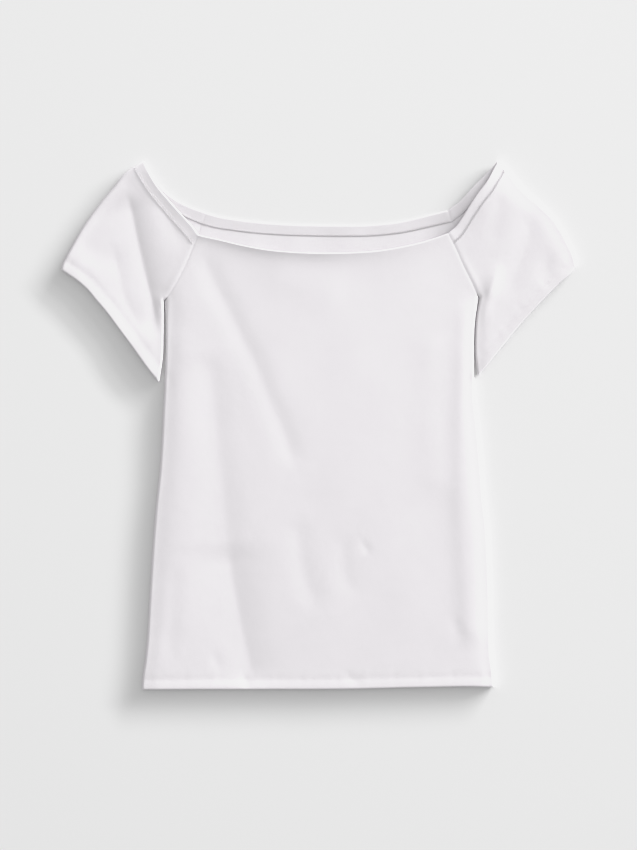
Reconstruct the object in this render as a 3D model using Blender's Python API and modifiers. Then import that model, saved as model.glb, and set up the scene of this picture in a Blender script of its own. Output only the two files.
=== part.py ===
# A fitted off-shoulder jersey top, laid flat on its back with the front up.
# Four cut pieces: front panel, back panel and two short raglan sleeves.
# Lengths are in millimetres until the last step. The neck faces +Y, up is +Z.
# Each piece is a grid over its cut outline, with its hems turned to the inside,
# raised to the level at which the cloth lies there, and then given its thickness.
import bpy
import bmesh
import numpy as np

MM = 0.001

# Cloth
WALL = 1.2
SEAM_GAP = 0.4
PLY_GAP = 0.3
PLY_STEP = WALL + PLY_GAP

# Turned hems, measured from the finished edge
NECK_HEM = 15.0
CUFF_HEM = 13.4
BODY_HEM = 13.4

# Levels of the middle of the cloth above the surface it lies on
BACK_LEVEL = WALL / 2
FRONT_LEVEL = 3.9
FOLD_MIDDLE = 3.0
FOLD_TOP = 5.4
FOLD_RADIUS = 2.4
ARMPIT_RADIUS = 5.0
LOWEST_FRONT = 2.3
HIGHEST_FRONT = 5.5
NECK_RISE = 3.0
RIM_LIFT = 3.0
RIM_WIDTH = 30.0
ARMPIT_OPENING = 0.75
HEM_END_EASE = 0.25

# Rows and columns of the grids, as shares or distances along the edges
SEAM_SHARES = np.array([0.0, 0.27, 0.52, 0.72, 0.87, 0.955, 1.0])
ARMPIT_ROW = len(SEAM_SHARES)
UNDERARM_STEPS = [7.0, 17.0, 31.0, 48.0, 64.0]
SIDE_STEPS = UNDERARM_STEPS + [82.0, 94.0]
ROUND = [0.0, 0.08, 0.7, 2.4]

COLOUR = (0.85, 0.835, 0.86, 1.0)
ROUGHNESS = 0.9

# Finished outlines seen from above, each point x, y
LEFT_RAGLAN = [
    (-144.0, 227.4), (-148.8, 218.4), (-160.8, 189.6), (-176.4, 160.8), (-185.3, 148.2),
]
RIGHT_RAGLAN = [
    (154.8, 229.8), (163.2, 213.6), (172.8, 192.0), (183.6, 170.4), (191.9, 151.8),
]
LEFT_BACK_RAGLAN = [
    (-135.0, 254.4), (-141.6, 240.0), (-146.4, 225.6), (-159.6, 195.6), (-174.0, 166.8),
    (-185.3, 148.2),
]
RIGHT_BACK_RAGLAN = [
    (154.8, 257.4), (157.8, 247.2), (163.8, 235.2), (174.0, 207.6), (183.6, 176.4),
    (191.9, 151.8),
]
FRONT_NECK = [
    (-144.0, 227.4), (-130.8, 224.4), (-118.8, 221.8), (-94.8, 216.0), (-70.8, 211.2),
    (-46.8, 208.1), (-10.8, 206.0), (25.2, 206.0), (49.2, 207.0), (73.2, 209.0),
    (97.2, 213.1), (121.2, 218.4), (140.4, 224.4), (154.8, 229.8),
]
BACK_NECK = [
    (-135.0, 254.4), (-118.8, 249.8), (-94.8, 246.0), (-70.8, 243.1), (-40.8, 241.0),
    (-10.8, 240.0), (25.2, 239.5), (61.2, 240.0), (97.2, 243.8), (130.8, 251.5),
    (154.8, 257.4),
]
LEFT_SIDE = [
    (-184.6, 148.2), (-183.6, 128.4), (-183.4, 108.0), (-183.8, 80.4), (-184.8, 50.4),
    (-186.7, 18.0), (-188.4, -18.0), (-190.8, -54.0), (-194.6, -90.0), (-196.8, -114.0),
    (-199.8, -153.6), (-203.3, -210.0), (-205.8, -254.4), (-208.8, -284.4),
    (-211.2, -300.0), (-212.4, -316.8),
]
RIGHT_SIDE = [
    (191.4, 151.8), (187.7, 128.4), (186.2, 108.0), (186.0, 80.4), (186.0, 50.4),
    (187.0, 25.2), (190.8, -8.4), (194.4, -48.0), (197.5, -90.0), (201.1, -120.0),
    (203.0, -153.6), (204.7, -198.0), (205.2, -240.0), (206.4, -273.6), (208.8, -294.0),
    (210.6, -313.8),
]
HEM = [
    (-212.4, -316.8), (-142.8, -316.4), (-70.8, -316.3), (1.2, -316.2), (51.6, -315.6),
    (100.8, -314.4), (141.6, -313.6), (177.6, -313.1), (210.6, -313.8),
]
LEFT_UNDERARM = [
    (-185.8, 148.2), (-186.2, 128.4), (-186.5, 108.0), (-187.4, 80.4), (-192.0, 51.6),
]
RIGHT_UNDERARM = [
    (192.4, 151.8), (189.2, 128.4), (187.8, 108.0), (187.7, 82.8), (190.4, 59.4),
]
LEFT_SHOULDER = [
    (-210.0, 316.4), (-223.2, 308.4), (-235.2, 298.8), (-247.2, 283.8), (-262.8, 265.2),
    (-283.2, 237.0), (-298.8, 210.0), (-307.2, 194.4), (-309.6, 186.6),
]
RIGHT_SHOULDER = [
    (214.2, 316.4), (226.2, 303.6), (240.0, 286.2), (253.2, 273.6), (262.8, 265.8),
    (280.8, 248.4), (292.8, 230.4), (298.8, 218.4), (304.8, 206.4), (309.1, 192.0),
]
LEFT_CUFF = [
    (-192.0, 51.6), (-206.4, 69.6), (-223.2, 93.0), (-238.8, 114.0), (-254.4, 135.0),
    (-265.2, 147.6), (-277.2, 162.0), (-289.2, 172.8), (-301.2, 181.2), (-309.6, 186.6),
]
RIGHT_CUFF = [
    (190.4, 59.4), (199.2, 69.0), (213.6, 87.0), (232.8, 111.0), (253.2, 134.4),
    (273.6, 156.0), (289.2, 171.6), (301.2, 181.8), (309.1, 192.0),
]
LEFT_SLEEVE_NECK = [
    (-144.0, 227.4), (-152.4, 238.8), (-164.4, 252.0), (-178.8, 268.2), (-193.2, 285.6),
    (-204.0, 303.6), (-210.0, 316.4),
]
RIGHT_SLEEVE_NECK = [
    (154.8, 229.8), (164.4, 238.2), (171.6, 248.4), (181.2, 264.0), (190.8, 278.4),
    (201.6, 292.8), (214.2, 316.4),
]
LEFT_SLEEVE_BACK_NECK = [
    (-135.0, 254.4), (-154.8, 261.6), (-169.2, 268.8), (-181.2, 277.2), (-191.4, 288.0),
    (-201.6, 301.8), (-210.0, 316.4),
]
RIGHT_SLEEVE_BACK_NECK = [
    (154.8, 257.4), (169.2, 268.8), (183.6, 284.4), (199.2, 300.0), (214.2, 316.4),
]

# Folds of the upper layer: rise of the crest or trough, half width on its left and
# on its right, and its line seen from above
FOLDS = [
    (-0.9, 8.0, 14.0, [(-139.2, 218.4), (-109.2, 138.0), (-68.4, 48.0), (-26.4, -56.4)]),
    (-0.7, 9.0, 16.0, [(-139.2, 120.0), (-133.2, 30.0), (-124.8, -66.0)]),
    (-1.5, 8.0, 18.0, [(-124.8, -66.0), (-109.2, -198.0), (-97.2, -291.6), (-93.6, -320.0)]),
    (0.6, 14.0, 14.0, [(-104.0, -100.0), (-84.0, -230.0), (-74.0, -320.0)]),
    (-0.5, 12.0, 18.0, [(-27.6, -108.0), (-22.8, -168.0), (-1.2, -240.0)]),
    (-0.6, 12.0, 16.0, [(31.2, -138.0), (51.6, -210.0), (70.8, -276.0)]),
    (-1.3, 18.0, 14.0, [(166.8, 150.0), (151.2, 54.0), (146.4, -18.0), (147.6, -90.0)]),
    (-0.9, 16.0, 14.0, [(147.6, -90.0), (153.6, -162.0), (147.6, -234.0), (157.2, -291.6)]),
    (-1.5, 8.0, 14.0, [(-234.0, 261.6), (-218.4, 218.4), (-202.8, 146.4), (-193.2, 96.0)]),
    (-0.7, 9.0, 12.0, [(-253.2, 213.6), (-241.2, 150.0), (-219.6, 114.0)]),
    (-0.7, 8.0, 12.0, [(-204.0, 282.0), (-190.8, 253.2), (-170.4, 224.4)]),
    (-0.7, 10.0, 12.0, [(212.4, 279.6), (210.0, 240.0), (196.8, 207.6)]),
    (-0.9, 10.0, 14.0, [(246.0, 260.4), (244.8, 230.4), (228.0, 194.4), (211.2, 146.4)]),
    (-0.6, 10.0, 12.0, [(264.0, 210.0), (264.0, 156.0)]),
]


# Curves in plan

def lengths(points):
    """Distance along a line of points, from its first point."""
    steps = np.linalg.norm(np.diff(points, axis=0), axis=1)
    return np.concatenate([[0.0], np.cumsum(steps)])


def at(points, distances):
    """Points of a line at the given distances along it."""
    along = lengths(points)
    return np.stack([np.interp(distances, along, points[:, k]) for k in range(2)], axis=1)


def smooth(table, step=1.0):
    """A smooth line through the points of a table, evenly sampled."""
    knots = np.array(table, float)
    before = 2 * knots[0] - knots[1]
    after = 2 * knots[-1] - knots[-2]
    knots = np.vstack([before, knots, after])
    line = []
    for k in range(1, len(knots) - 2):
        a, b, c, d = knots[k - 1:k + 3]
        t = np.linspace(0.0, 1.0, 24, endpoint=False)[:, None]
        cubic = 2 * b + (c - a) * t + (2 * a - 5 * b + 4 * c - d) * t ** 2
        line.append(0.5 * (cubic + (3 * b - a - 3 * c + d) * t ** 3))
    line = np.vstack(line + [knots[-2:-1]])
    whole = lengths(line)[-1]
    return at(line, np.linspace(0.0, whole, int(whole / step) + 2))


def offset(line, distance):
    """The line moved to its left by a distance, or by one distance per point."""
    along = np.gradient(line, axis=0)
    along /= np.linalg.norm(along, axis=1)[:, None]
    across = np.stack([-along[:, 1], along[:, 0]], axis=1)
    return line + across * np.reshape(distance, (-1, 1))


def pinned(line, start, end):
    """The line with its ends moved to two points, and the rest carried along."""
    share = (lengths(line) / lengths(line)[-1])[:, None]
    return line + (1 - share) * (start - line[0]) + share * (end - line[-1])


def nearest(x, y, line):
    """Distance to a line, its side (left positive) and distance along it."""
    shape = x.shape
    p = np.stack([x.ravel(), y.ravel()], axis=1)
    best = np.full(len(p), 1e9)
    side = np.zeros(len(p))
    place = np.zeros(len(p))
    along = lengths(line)
    for k in range(len(line) - 1):
        a, run = line[k], line[k + 1] - line[k]
        span = float(run @ run)
        t = np.clip(((p - a) @ run) / span, 0.0, 1.0)
        gap = p - (a + t[:, None] * run)
        far = np.linalg.norm(gap, axis=1)
        closer = far < best
        best[closer] = far[closer]
        turn = run[0] * gap[:, 1] - run[1] * gap[:, 0]
        side[closer] = np.sign(turn[closer])
        place[closer] = (along[k] + t * np.sqrt(span))[closer]
    return best.reshape(shape), side.reshape(shape), place.reshape(shape)


def ease(value):
    """Smooth step from 0 to 1."""
    t = np.clip(value, 0.0, 1.0)
    return t * t * (3 - 2 * t)


# Levels of the two layers

COARSE = 6.0
LINES = {
    "left_side": smooth(LEFT_SIDE, COARSE),
    "right_side": smooth(RIGHT_SIDE, COARSE),
    "hem": smooth(HEM, COARSE),
    "left_underarm": smooth(LEFT_UNDERARM, COARSE),
    "right_underarm": smooth(RIGHT_UNDERARM, COARSE),
    "left_shoulder": smooth(LEFT_SHOULDER, COARSE),
    "right_shoulder": smooth(RIGHT_SHOULDER, COARSE),
    "left_cuff": smooth(LEFT_CUFF, COARSE),
    "right_cuff": smooth(RIGHT_CUFF, COARSE),
    "front_neck": smooth(FRONT_NECK, COARSE),
    "left_sleeve_neck": smooth(LEFT_SLEEVE_NECK, COARSE),
    "right_sleeve_neck": smooth(RIGHT_SLEEVE_NECK, COARSE),
}


def closest(x, y, names):
    """Distance to the nearest of several lines."""
    return np.min([nearest(x, y, LINES[name])[0] for name in names], axis=0)


def rim_lift(x, y):
    """How far the cloth near the outline stands clear of the surface."""
    folds = ["left_side", "right_side", "left_underarm", "right_underarm"]
    folds += ["left_shoulder", "right_shoulder", "hem", "left_cuff", "right_cuff"]
    return RIM_LIFT * (1 - ease(closest(x, y, folds) / RIM_WIDTH))


def fold_rise(x, y):
    """Sum of the folds of the upper layer."""
    total = np.zeros_like(x)
    for rise, left, right, table in FOLDS:
        line = smooth(table, COARSE)
        far, side, place = nearest(x, y, line)
        width = np.where(side > 0, right, left)
        whole = lengths(line)[-1]
        ends = ease((place + 4.0) / 30.0) * ease((whole + 4.0 - place) / 30.0)
        total += rise * np.exp(-(far / width) ** 2) * ends
    return total


def front_level(x, y):
    """Level of the upper layer away from its fold edges, before the rim lift."""
    folds = ["left_side", "right_side", "left_underarm", "right_underarm"]
    folds += ["left_shoulder", "right_shoulder"]
    to_fold = closest(x, y, folds)
    to_hem = closest(x, y, ["hem", "left_cuff", "right_cuff"])
    to_neck = closest(x, y, ["front_neck", "left_sleeve_neck", "right_sleeve_neck"])
    by_fold = np.exp(-(np.maximum(to_fold - FOLD_RADIUS, 0.0) / 18.0) ** 2)
    by_hem = np.exp(-(np.maximum(to_hem - BODY_HEM - 3.0, 0.0) / 14.0) ** 2)
    by_neck = np.exp(-(to_neck / 13.0) ** 2)
    raised = np.maximum(by_fold, by_hem)
    level = FRONT_LEVEL + fold_rise(x, y) * (1 - by_hem) * (1 - raised ** 4)
    level = np.clip(level, LOWEST_FRONT, HIGHEST_FRONT)
    level = level + (FOLD_TOP - level) * raised
    return level + (NECK_RISE * by_neck) * (1 - 0.45 * raised)


def fold_profile(plan, edge, armpit_row=None):
    """0 at a fold edge, rising along a quarter ellipse to 1 above it.

    edge holds the fold's point in each row. Rows before the armpit row end at a
    seam there, and their fold is the armpit itself.
    """
    line = edge.copy()
    width = np.full(len(line), FOLD_RADIUS)
    if armpit_row is not None:
        past = np.linalg.norm(line - line[armpit_row], axis=1)
        past[:armpit_row] = 0.0
        line[:armpit_row] = line[armpit_row]
        width += (ARMPIT_RADIUS - FOLD_RADIUS) * np.exp(-(past / 14.0) ** 2)
    far = np.linalg.norm(plan - line[:, None], axis=2)
    part = 1 - np.clip(far / width[:, None], 0.0, 1.0)
    return np.sqrt(np.maximum(1 - part ** 2, 0.0))


def front_height(plan, rise):
    """Height of the middle of the upper layer."""
    x, y = plan[:, :, 0], plan[:, :, 1]
    start = FOLD_MIDDLE + SEAM_GAP / 2
    return rim_lift(x, y) + start + (front_level(x, y) - start) * rise


def back_height(plan, rise):
    """Height of the middle of the lower layer."""
    x, y = plan[:, :, 0], plan[:, :, 1]
    start = FOLD_MIDDLE - SEAM_GAP / 2
    return rim_lift(x, y) + start + (BACK_LEVEL - start) * rise


# Cut outlines at the middle of the cloth

EDGE_INSET = WALL / 2
HEM_INSET = WALL / 2 + PLY_STEP / 2 * np.sin(np.radians(60))


def seam_edge(table, body_on_left):
    """Edge of a piece along a raglan seam, from the neck to the armpit."""
    line = smooth(table)
    to_armpit = lengths(line)[-1] - lengths(line)
    gap = SEAM_GAP / 2 + ARMPIT_OPENING * np.exp(-(to_armpit / 5.0) ** 2)
    moved = offset(line, gap if body_on_left else -gap)
    return at(moved, np.linspace(HEM_INSET, lengths(moved)[-1], len(moved)))


def seam_rows(edge):
    """Points of a seam edge for the rows: neck edge, stitch line, then to the armpit."""
    whole = lengths(edge)[-1]
    start = NECK_HEM - HEM_INSET
    return at(edge, np.concatenate([[0.0], start + SEAM_SHARES * (whole - start)]))


def fold_rows(line, inset, start, end, hem, near, count):
    """Points along a fold edge for the rows: near the armpit, evenly on, then the hem."""
    moved = pinned(offset(line, inset), start, end)
    whole = lengths(moved)[-1]
    stitch = whole - (hem - HEM_INSET)
    even = np.linspace(near[-1], stitch, count + 1)[1:]
    return at(moved, np.concatenate([near, even, [whole]]))


def patch(left, right, top, bottom, columns):
    """Grid of plan points filling four boundary lines. Rows follow left and right."""
    u = columns[None, :, None]
    left_share = lengths(left) / lengths(left)[-1]
    right_share = lengths(right) / lengths(right)[-1]
    v = ((left_share + right_share) / 2)[:, None, None]
    upper = pinned(at(top, columns * lengths(top)[-1]), left[0], right[0])[None]
    lower = pinned(at(bottom, columns * lengths(bottom)[-1]), left[-1], right[-1])[None]
    sides = (1 - u) * left[:, None] + u * right[:, None]
    ends = (1 - v) * upper + v * lower
    corners = (1 - v) * ((1 - u) * left[0] + u * right[0])
    corners = corners + v * ((1 - u) * left[-1] + u * right[-1])
    return sides + ends - corners


def columns_between(start_edges, end_edges, middle, width):
    """Column shares across a piece: close together at its edges, even between."""
    head = [d / width for d in start_edges]
    tail = [1 - d / width for d in reversed(end_edges)]
    between = np.linspace(head[-1], tail[0], middle + 1)[1:-1]
    return np.concatenate([head, between, tail])


# Sheets, hems and thickness

def unit(vectors):
    return vectors / np.linalg.norm(vectors, axis=-1, keepdims=True)


def tangents(rows):
    """Direction of a grid down its first axis: the mean of the two steps at a point."""
    steps = unit(np.diff(rows, axis=0))
    steps = np.concatenate([steps[:1], steps, steps[-1:]])
    return unit(steps[:-1] + steps[1:])


def outward(sheet, flip):
    """Unit normals of a grid of points, out of the garment, level at its fold edges."""
    down = tangents(sheet)
    across = tangents(sheet.transpose(1, 0, 2)).transpose(1, 0, 2)
    normal = unit(np.cross(down, across) if flip else np.cross(across, down))
    for column in (0, -1):
        at_fold = np.abs(normal[:, column, 2]) < 0.4
        normal[at_fold, column, 2] = 0.0
    return unit(normal)


def drawn_in(row):
    """A row with its start moved a little along itself, clear of the next piece."""
    far = np.linalg.norm(row - row[0], axis=1)
    share = np.clip(1 - far / FOLD_RADIUS, 0.0, 1.0)[:, None]
    return row + HEM_END_EASE * share * unit(row[3] - row[0])


def turned(edge, inner, normal):
    """Rows of a hem turned to the inside: round the edge and back to the stitch line."""
    out = edge - inner
    out = unit(out - (out * normal[0]).sum(axis=1)[:, None] * normal[0])
    radius = PLY_STEP / 2
    rows = []
    for angle in np.radians([60, 120]):
        reach = out * radius * np.sin(angle)
        row = edge + reach - normal[0] * radius * (1 - np.cos(angle))
        rows.append(drawn_in(drawn_in(row)[::-1])[::-1])
    rows.append(edge - normal[0] * PLY_STEP)
    rows.append(inner - normal[1] * PLY_STEP)
    return rows


def with_hems(sheet, flip):
    """The sheet with its first and last rows turned under along the next row."""
    normal = outward(sheet, flip)
    first = turned(sheet[0], sheet[1], normal[[0, 1]])
    last = turned(sheet[-1], sheet[-2], normal[[-1, -2]])
    return np.stack(first[::-1] + list(sheet) + last)


def jersey(name):
    material = bpy.data.materials.new(name + "_jersey")
    material.use_nodes = True
    shader = material.node_tree.nodes["Principled BSDF"]
    shader.inputs["Base Color"].default_value = COLOUR
    shader.inputs["Roughness"].default_value = ROUGHNESS
    shader.inputs["Metallic"].default_value = 0.0
    material.diffuse_color = COLOUR
    return material


def cloth_piece(name, sheet, collection):
    """A grid of cloth laid on the sheet's points and given its thickness."""
    rows, columns = sheet.shape[:2]
    mesh = bpy.data.meshes.new(name)
    work = bmesh.new()
    bmesh.ops.create_grid(
        work, x_segments=columns - 1, y_segments=rows - 1, size=1.0
    )
    for vertex in work.verts:
        column = round((vertex.co.x + 1) / 2 * (columns - 1))
        row = round((1 - vertex.co.y) / 2 * (rows - 1))
        vertex.co = sheet[row, column] * MM
    work.to_mesh(mesh)
    work.free()
    mesh.materials.append(jersey(name))
    piece = bpy.data.objects.new(name, mesh)
    collection.objects.link(piece)
    mesh.shade_smooth()
    thick = piece.modifiers.new("cloth thickness", "SOLIDIFY")
    thick.thickness = WALL * MM
    thick.offset = 0.0
    thick.use_quality_normals = True
    return piece


# Body panels

def body_sheet(left_seam, right_seam, neck, height, side_rows, columns):
    """Grid of a body panel from the neck edge down to the hem edge."""
    left_edge = seam_rows(seam_edge(left_seam, True))
    right_edge = seam_rows(seam_edge(right_seam, False))
    hem = offset(smooth(HEM), HEM_INSET)
    left_corner = hem[0] + np.array([EDGE_INSET, 0.0])
    right_corner = hem[-1] - np.array([EDGE_INSET, 0.0])
    hem = pinned(hem, left_corner, right_corner)
    left_side = fold_rows(
        smooth(LEFT_SIDE), EDGE_INSET, left_edge[-1], left_corner,
        BODY_HEM, SIDE_STEPS, side_rows,
    )
    right_side = fold_rows(
        smooth(RIGHT_SIDE), -EDGE_INSET, right_edge[-1], right_corner,
        BODY_HEM, SIDE_STEPS, side_rows,
    )
    left = np.vstack([left_edge, left_side])
    right = np.vstack([right_edge, right_side])
    top = pinned(offset(smooth(neck), -HEM_INSET), left[0], right[0])
    plan = patch(left, right, top, hem, columns)
    rise = fold_profile(plan, plan[:, 0], ARMPIT_ROW)
    rise = rise * fold_profile(plan, plan[:, -1], ARMPIT_ROW)
    return np.dstack([plan, height(plan, rise)])


# Sleeves

def sleeve_half(seam, underarm, shoulder, neck, cuff, corners, leftward, columns):
    """Plan grid of one layer of a sleeve, from its seam across to the shoulder fold."""
    way = -1.0 if leftward else 1.0
    edge = seam_rows(seam_edge(seam, not leftward))
    peak, tip, corner = corners
    under = fold_rows(
        smooth(underarm), way * EDGE_INSET, edge[-1], corner,
        CUFF_HEM, UNDERARM_STEPS, 1,
    )
    side = np.vstack([edge, under])
    fold = pinned(smooth(shoulder), peak, tip)
    whole = lengths(fold)[-1]
    start = NECK_HEM - HEM_INSET
    stop = whole - (CUFF_HEM - HEM_INSET)
    middle = np.linspace(start, stop, len(side) - 2)
    fold = at(fold, np.concatenate([[0.0], middle, [whole]]))
    top = pinned(smooth(neck), side[0], peak)
    bottom = pinned(smooth(cuff), corner, tip)
    return patch(side, fold, top, bottom, columns)


def sleeve_corners(shoulder, cuff, neck, leftward):
    """Peak, cuff tip and underarm corner, moved in from the finished outline."""
    way = 1.0 if leftward else -1.0
    fold = smooth(shoulder)
    hem = smooth(cuff)
    down = fold[3] - fold[0]
    down /= np.linalg.norm(down)
    along = hem[-1] - hem[-4]
    along /= np.linalg.norm(along)
    inside = np.array([-along[1], along[0]]) * -way
    peak = fold[0] + down * (HEM_INSET + 0.4) + np.array([way, 0.0]) * EDGE_INSET
    tip = hem[-1] - along * (EDGE_INSET + 0.4) + inside * HEM_INSET
    start = hem[3] - hem[0]
    start /= np.linalg.norm(start)
    inside = np.array([-start[1], start[0]]) * -way
    corner = hem[0] + start * EDGE_INSET + inside * HEM_INSET
    return peak, tip, corner


def sleeve_sheet(side, tables, upper_columns, lower_columns):
    """Grid of a sleeve: upper layer from its seam to the fold, then the lower layer."""
    seam, back_seam, underarm, shoulder, neck, back_neck, cuff = tables
    leftward = side == "left"
    corners = sleeve_corners(shoulder, cuff, neck, leftward)
    upper = sleeve_half(
        seam, underarm, shoulder, neck, cuff, corners, leftward, upper_columns
    )
    lower = sleeve_half(
        back_seam, underarm, shoulder, back_neck, cuff, corners, leftward, lower_columns
    )
    lower = lower[:, ::-1]
    rise = fold_profile(upper, upper[:, 0], ARMPIT_ROW) * fold_profile(upper, upper[:, -1])
    upper_level = front_height(upper, rise)
    rise = fold_profile(lower, lower[:, -1], ARMPIT_ROW) * fold_profile(lower, lower[:, 0])
    lower_level = back_height(lower, rise)
    meet = (upper_level[:, -1] + lower_level[:, 0]) / 2
    upper_level[:, -1] = meet
    upper = np.dstack([upper, upper_level])
    lower = np.dstack([lower, lower_level])
    return np.concatenate([upper, lower[:, 1:]], axis=1)


def build():
    for thing in list(bpy.data.objects):
        bpy.data.objects.remove(thing, do_unlink=True)
    garment = bpy.data.collections.new("off_shoulder_top")
    bpy.context.scene.collection.children.link(garment)

    front_columns = columns_between(ROUND + [7.0, 14.0], ROUND + [7.0, 14.0], 27, 374.0)
    front = body_sheet(
        LEFT_RAGLAN, RIGHT_RAGLAN, FRONT_NECK, front_height, 15, front_columns
    )
    cloth_piece("front_panel", with_hems(front, True), garment)

    back_columns = columns_between(ROUND + [12.0, 30.0], ROUND + [12.0, 30.0], 9, 374.0)
    back = body_sheet(
        LEFT_BACK_RAGLAN, RIGHT_BACK_RAGLAN, BACK_NECK, back_height, 7, back_columns
    )
    cloth_piece("back_panel", with_hems(back, False), garment)

    upper_columns = columns_between(ROUND + [7.0], ROUND + [8.0], 9, 145.0)
    lower_columns = columns_between(ROUND + [9.0], ROUND + [9.0], 4, 145.0)
    left_tables = (
        LEFT_RAGLAN, LEFT_BACK_RAGLAN, LEFT_UNDERARM, LEFT_SHOULDER,
        LEFT_SLEEVE_NECK, LEFT_SLEEVE_BACK_NECK, LEFT_CUFF,
    )
    right_tables = (
        RIGHT_RAGLAN, RIGHT_BACK_RAGLAN, RIGHT_UNDERARM, RIGHT_SHOULDER,
        RIGHT_SLEEVE_NECK, RIGHT_SLEEVE_BACK_NECK, RIGHT_CUFF,
    )
    left = sleeve_sheet("left", left_tables, upper_columns, lower_columns)
    right = sleeve_sheet("right", right_tables, upper_columns, lower_columns)
    cloth_piece("left_sleeve", with_hems(left, False), garment)
    cloth_piece("right_sleeve", with_hems(right, True), garment)


build()
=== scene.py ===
# An off-shoulder jersey top, laid flat: the finish of the cloth, its seams, hems and
# stitching, and the light. Lengths are in millimetres until a mesh is made.
import math
import bmesh
import bpy
import numpy as np
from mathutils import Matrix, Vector


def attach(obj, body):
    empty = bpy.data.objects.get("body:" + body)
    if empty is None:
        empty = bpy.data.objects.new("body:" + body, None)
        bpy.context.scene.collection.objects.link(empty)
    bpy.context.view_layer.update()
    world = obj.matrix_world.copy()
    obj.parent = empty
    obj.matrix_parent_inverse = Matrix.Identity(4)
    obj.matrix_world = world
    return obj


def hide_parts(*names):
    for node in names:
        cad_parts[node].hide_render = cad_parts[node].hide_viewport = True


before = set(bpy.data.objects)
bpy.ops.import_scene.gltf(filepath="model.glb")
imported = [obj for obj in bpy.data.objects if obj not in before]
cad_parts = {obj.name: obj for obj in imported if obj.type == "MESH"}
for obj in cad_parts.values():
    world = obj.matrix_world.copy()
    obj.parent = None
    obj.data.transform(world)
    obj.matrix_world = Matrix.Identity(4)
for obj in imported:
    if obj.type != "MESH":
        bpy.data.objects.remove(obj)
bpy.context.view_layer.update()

MM = 0.001

# Cloth
THICKNESS = 0.5
SEAM_GAP = 0.06
PLY_GAP = 0.05
PLY_STEP = THICKNESS + PLY_GAP

# Turned hems, measured from the finished edge
NECK_HEM = 15.0
CUFF_HEM = 13.4
BODY_HEM = 13.4
HEM_STEPS = 8
HEM_END_EASE = 0.12
RAW_EDGE = 0.3

# Levels of the middle of the cloth above the surface it lies on
BACK_LEVEL = 0.5
FRONT_LEVEL = 6.2
LOW_SIDE_FALL = 1.7
LOW_SIDE_WAY = (0.9, 0.43)
LOW_SIDE_START = -20.0
LOW_SIDE_RUN = 300.0
RIGHT_PEAK = (190.0, 290.0)
PEAK_LIFT = 2.5
PEAK_WIDTH = 45.0
HEM_STAND = 0.3
FOLD_RADIUS = 2.4
EDGE_FALL = 0.5
EDGE_WIDTH = 11.0
ARMPIT_RADIUS = 5.0
ARMPIT_REACH = 14.0
ARMPIT_OPENING = 0.75
ARMPIT_OPENING_REACH = 5.0
SLEEVE_NECK_RISE = 0.55
SLEEVE_NECK_ROLL = 6.5

# Roll of the front neck edge: place across, its rise, how far it reaches down
NECK_ROLL = [
    (-144.0, 1.1, 6.0), (-83.0, 1.7, 7.5), (0.0, 2.3, 10.0), (97.0, 1.3, 12.0),
    (155.0, 0.8, 12.0),
]

# Height of a sharp fold: how round its crest is, how quickly its flanks flatten
CREST_ROUND = 1.2
FLANK_SPREAD = 0.7

# Folds run out over this length and fade beside a fold edge
FOLD_RUN_OUT = 30.0
FOLD_PAST_END = 2.0
FADE_BY_EDGE = 0.7
ROLL_FADE_BY_EDGE = 0.45

# Slack cloth: first random number, spacing of its waves and their height
FRONT_SLACK = (3, 90.0, 0.25)
BACK_SLACK = (5, 70.0, 0.2)
BACK_RISE = 0.12

# Puckers beside the hem stitching
PUCKER_PITCHES = (7.0, 10.0, 14.0, 23.0)
PUCKER_HEIGHT = 0.03
PUCKER_REACH = 7.0
PUCKER_SEED = 20
HEM_SINK = 0.12
HEM_SINK_WIDTH = 4.0
FULL_TURN = 6.28

# Relief of the raglan seams
SEAM_SINK = 0.12
SEAM_SINK_WIDTH = 1.6
ALLOWANCE_RISE = 0.05
ALLOWANCE_BY_ARMPIT = 0.14
ALLOWANCE_PLACE = 4.0
ALLOWANCE_WIDTH = 3.2

# Grid
PITCH = 3.2
BACK_PITCH = 5.0
SLEEVE_PITCH = 3.0
BODY_WIDE = 374.0
BODY_LONG = 360.0
SLEEVE_DEEP = 145.0
STITCH_CLEAR = 4.0
TIP_EASE = 0.3
SEAM_STEPS = 30
UNDERARM_STEPS = 30
ROUND = [0.0, 0.04, 0.22, 0.56, 1.02, 1.58, 2.4, 3.6, 5.2, 7.4]
EDGE_INSET = THICKNESS / 2
HEM_INSET = THICKNESS / 2 + PLY_STEP / 2

# Finished outlines seen from above, each point x, y
LEFT_RAGLAN = [
    (-144.0, 227.4), (-148.8, 218.4), (-160.8, 189.6), (-176.4, 160.8), (-185.3, 148.2),
]
RIGHT_RAGLAN = [
    (154.8, 229.8), (163.2, 213.6), (172.8, 192.0), (183.6, 170.4), (191.9, 151.8),
]
LEFT_BACK_RAGLAN = [
    (-135.0, 254.4), (-141.6, 240.0), (-146.4, 225.6), (-159.6, 195.6), (-174.0, 166.8),
    (-185.3, 148.2),
]
RIGHT_BACK_RAGLAN = [
    (154.8, 257.4), (157.8, 247.2), (163.8, 235.2), (174.0, 207.6), (183.6, 176.4),
    (191.9, 151.8),
]
FRONT_NECK = [
    (-144.0, 227.4), (-130.8, 224.4), (-118.8, 221.8), (-94.8, 216.0), (-70.8, 211.2),
    (-46.8, 208.1), (-10.8, 206.0), (25.2, 206.0), (49.2, 207.0), (73.2, 209.0),
    (97.2, 213.1), (121.2, 218.4), (140.4, 224.4), (154.8, 229.8),
]
BACK_NECK = [
    (-135.0, 254.4), (-118.8, 249.8), (-94.8, 246.0), (-70.8, 243.1), (-40.8, 241.0),
    (-10.8, 240.0), (25.2, 239.5), (61.2, 240.0), (97.2, 243.8), (130.8, 251.5),
    (154.8, 257.4),
]
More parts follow.
